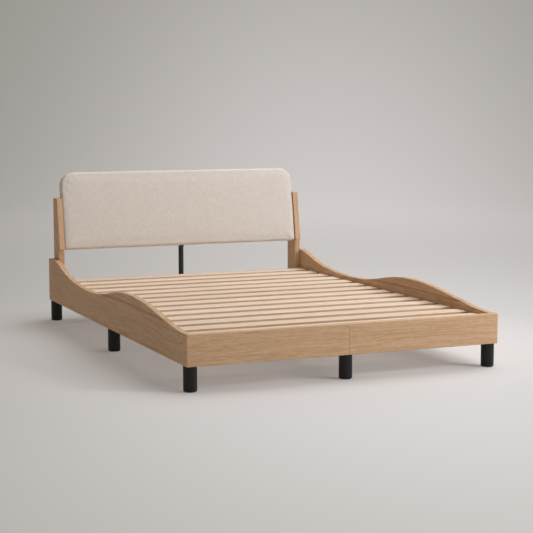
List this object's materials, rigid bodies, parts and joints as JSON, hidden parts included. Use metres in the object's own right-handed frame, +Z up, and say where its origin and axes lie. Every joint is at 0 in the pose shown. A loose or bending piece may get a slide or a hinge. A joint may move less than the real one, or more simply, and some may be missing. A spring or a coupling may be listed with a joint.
{
  "type": "double bed frame",
  "caption": "Wooden double bed frame with wavy side rails, a slatted base, round black legs and a leaning padded headboard.",
  "frame": {"origin": "on the floor under the middle of the bed", "axes": "+X across the bed to the right as seen from the foot end, +Y along the bed towards the headboard, +Z up"},
  "size_m": [1.47, 2.15, 0.7943],
  "materials": {
    "oak": "clear matt lacquered oak, grain along each board",
    "pine": "planed pale pine, unfinished",
    "plywood": "sanded plywood sheet",
    "woven_fabric": "oatmeal nubby woven upholstery cloth",
    "black_plastic": "moulded black plastic, satin",
    "black_steel": "black powder coat"
  },
  "bodies": {
    "root": {"side_rail_left": "oak", "side_rail_right": "oak", "foot_rail_left": "oak", "foot_rail_right": "oak", "head_rail_left": "oak", "head_rail_right": "oak", "headboard_post_left": "oak", "headboard_post_right": "oak", "headboard_cheek_left": "oak", "headboard_cheek_right": "oak", "slat_ledge_left": "pine", "slat_ledge_right": "pine", "centre_beam": "pine", "corner_block_left": "pine", "corner_block_right": "pine", "side_block_left": "pine", "side_block_right": "pine", "joint_block_foot": "pine", "joint_block_head": "pine", "beam_block": "pine", "slat_01": "pine", "slat_02": "pine", "slat_03": "pine", "slat_04": "pine", "slat_05": "pine", "slat_06": "pine", "slat_07": "pine", "slat_08": "pine", "slat_09": "pine", "slat_10": "pine", "slat_11": "pine", "slat_12": "pine", "slat_13": "pine", "slat_14": "pine", "leg_foot_left": "black_plastic", "leg_foot_centre": "black_plastic", "leg_foot_right": "black_plastic", "leg_middle_left": "black_plastic", "leg_middle_centre": "black_plastic", "leg_middle_right": "black_plastic", "leg_head_left": "black_plastic", "leg_head_centre": "black_plastic", "leg_head_right": "black_plastic", "headboard_pad": "woven_fabric", "headboard_board": "plywood", "panel_angle_left": "black_steel", "panel_angle_right": "black_steel", "head_rail_angle_left": "black_steel", "head_rail_angle_right": "black_steel", "support_rod": "black_steel", "rod_plate": "black_steel", "rod_clamp": "black_steel", "rod_foot": "black_plastic", "rod_bolt": "black_steel", "corner_bolt_left": "black_steel", "corner_bolt_right": "black_steel", "post_bolt_lower_left": "black_steel", "post_bolt_upper_left": "black_steel", "post_bolt_lower_right": "black_steel", "post_bolt_upper_right": "black_steel"}
  },
  "joints": []
}
